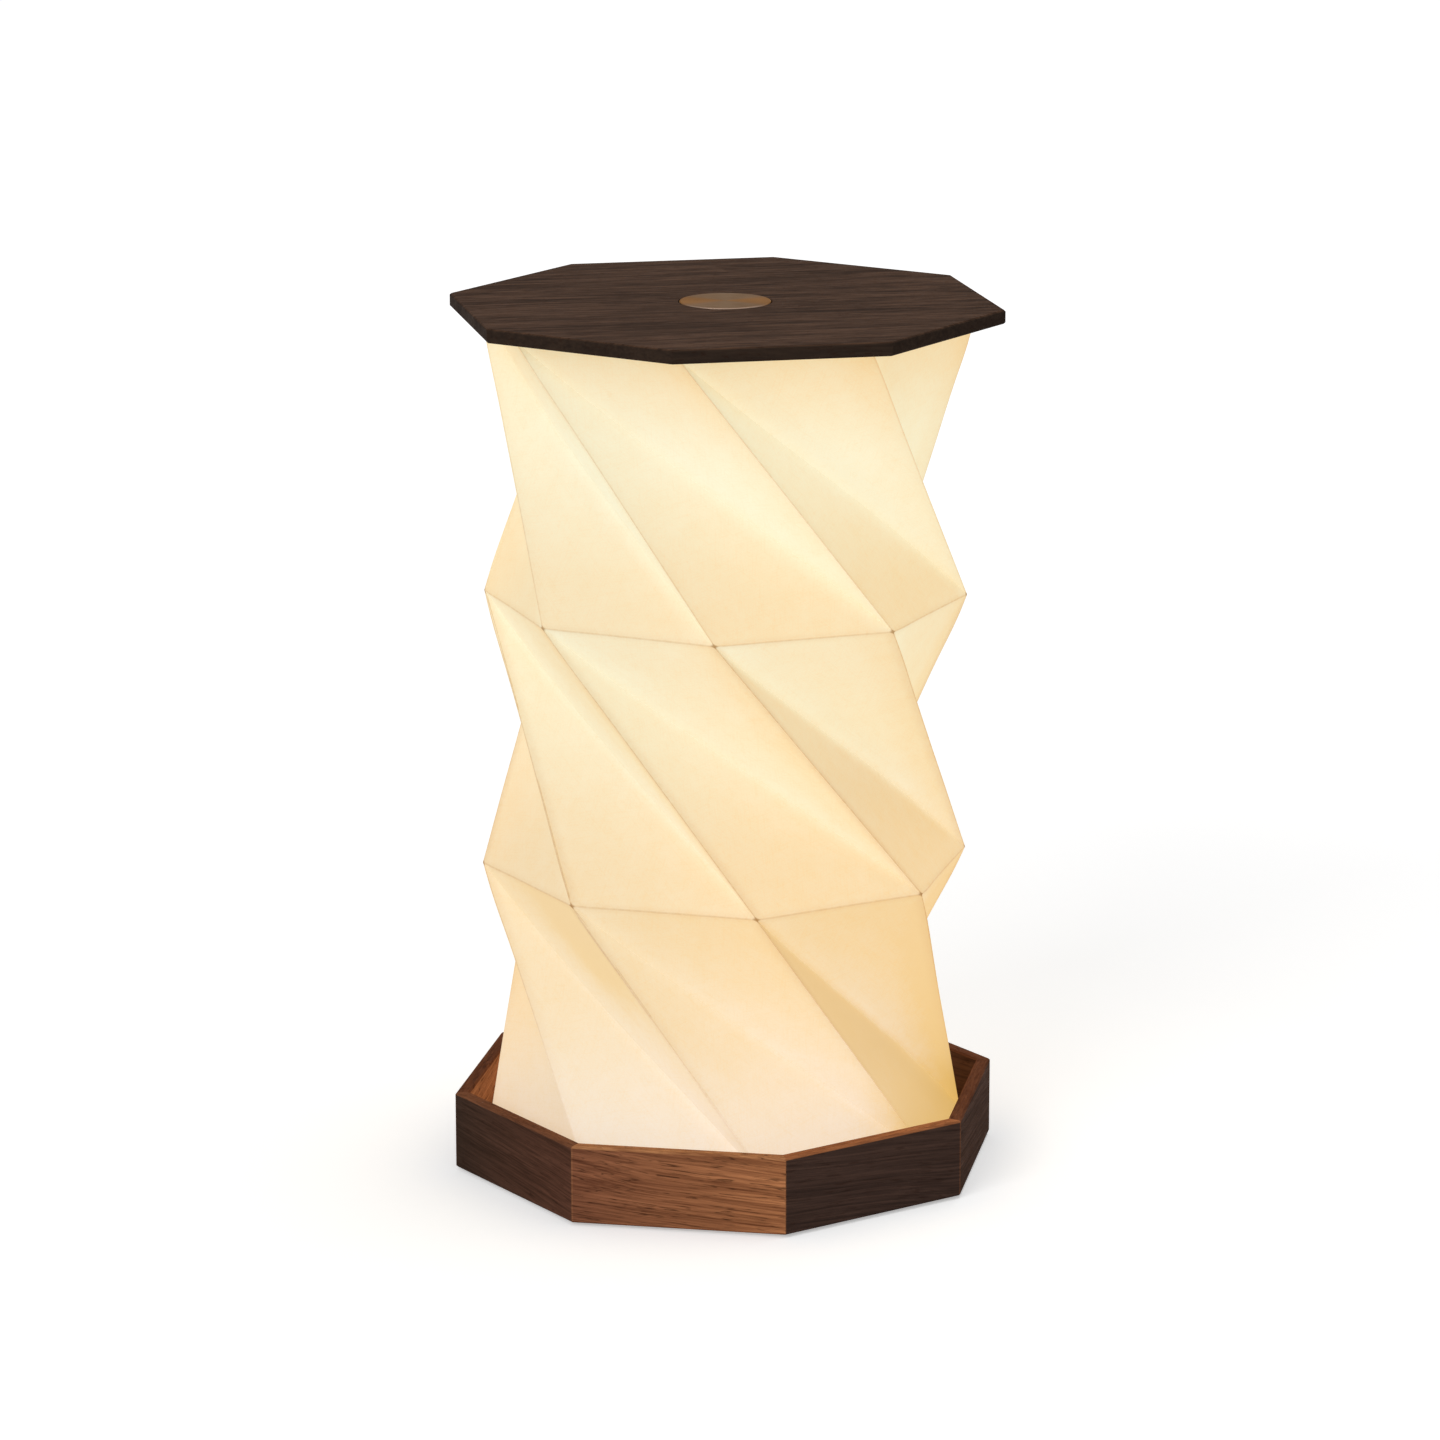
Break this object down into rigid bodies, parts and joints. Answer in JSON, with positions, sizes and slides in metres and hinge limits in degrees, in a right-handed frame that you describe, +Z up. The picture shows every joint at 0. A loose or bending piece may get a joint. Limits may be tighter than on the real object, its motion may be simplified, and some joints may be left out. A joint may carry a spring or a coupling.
{
  "type": "folding lamp",
  "caption": "Free-standing lamp with a twisted folding paper shade between an octagonal wooden tray and a lid that turns as it drops shut, with a round push disc.",
  "frame": {"origin": "on the table under the middle of the tray, at the feet's undersides", "axes": "+Z up along the axis of the shade, -Y to the front, the charging socket at the rear on +Y"},
  "size_m": [0.14, 0.14, 0.2212],
  "materials": {
    "walnut": "oiled",
    "plywood": "plain",
    "steel": "plated",
    "circuit_board": "satin",
    "black_plastic": "matte",
    "silicone": "matte",
    "cell_wrap": "satin",
    "aluminium": "satin",
    "white_board": "satin",
    "light_chip": "gloss",
    "opal_plastic": "satin",
    "shade_paper": "matte",
    "bronze": "spun"
  },
  "bodies": {
    "tray": {"tray_stave_1": "walnut", "tray_stave_2": "walnut", "tray_stave_3": "walnut", "tray_stave_4": "walnut", "tray_stave_5": "walnut", "tray_stave_6": "walnut", "tray_stave_7": "walnut", "tray_stave_8": "walnut", "floor_panel": "plywood", "base_cover": "plywood", "cover_screws": "steel", "foot_pads": "silicone", "battery_cell": "cell_wrap", "charge_board": "circuit_board", "board_parts": "black_plastic", "usb_shell": "steel", "usb_insulator": "black_plastic", "light_plate": "aluminium", "light_board": "white_board", "light_chips": "light_chip", "light_screws": "steel", "base_magnet": "steel", "diffuser_cap": "opal_plastic", "base_ring": "plywood", "base_ring_screws": "steel"},
    "shade": {"paper_shade": "shade_paper"},
    "lid": {"lid_plate": "walnut", "lid_ring": "plywood", "lid_ring_screws": "steel", "switch_cup": "black_plastic", "cup_screws": "steel", "lid_magnet": "steel", "switch_board": "circuit_board", "switch_body": "black_plastic", "switch_header": "black_plastic"},
    "button": {"button_disc": "bronze", "button_stem": "black_plastic", "switch_plunger": "black_plastic"}
  },
  "joints": [
    {"name": "shade_fold", "type": "slide", "parent": "tray", "child": "shade", "axis": [0, 0, 1], "range_m": [-0.1967, 0], "deforming": ["paper_shade"]},
    {"name": "lid_twist", "type": "hinge", "parent": "shade", "child": "lid", "pos_m": [0, 0, 0.2175], "axis": [0, 0, 1], "range_deg": [-112.5, 0]},
    {"name": "button_press", "type": "slide", "parent": "lid", "child": "button", "axis": [0, 0, 1], "range_m": [-0.0008, 0], "stiffness_N_per_m": 800, "springref_m": 0.0008}
  ],
  "couplings": [
    {"joint": "lid_twist", "follows": "shade_fold", "rad_per_m": 9.9822}
  ]
}
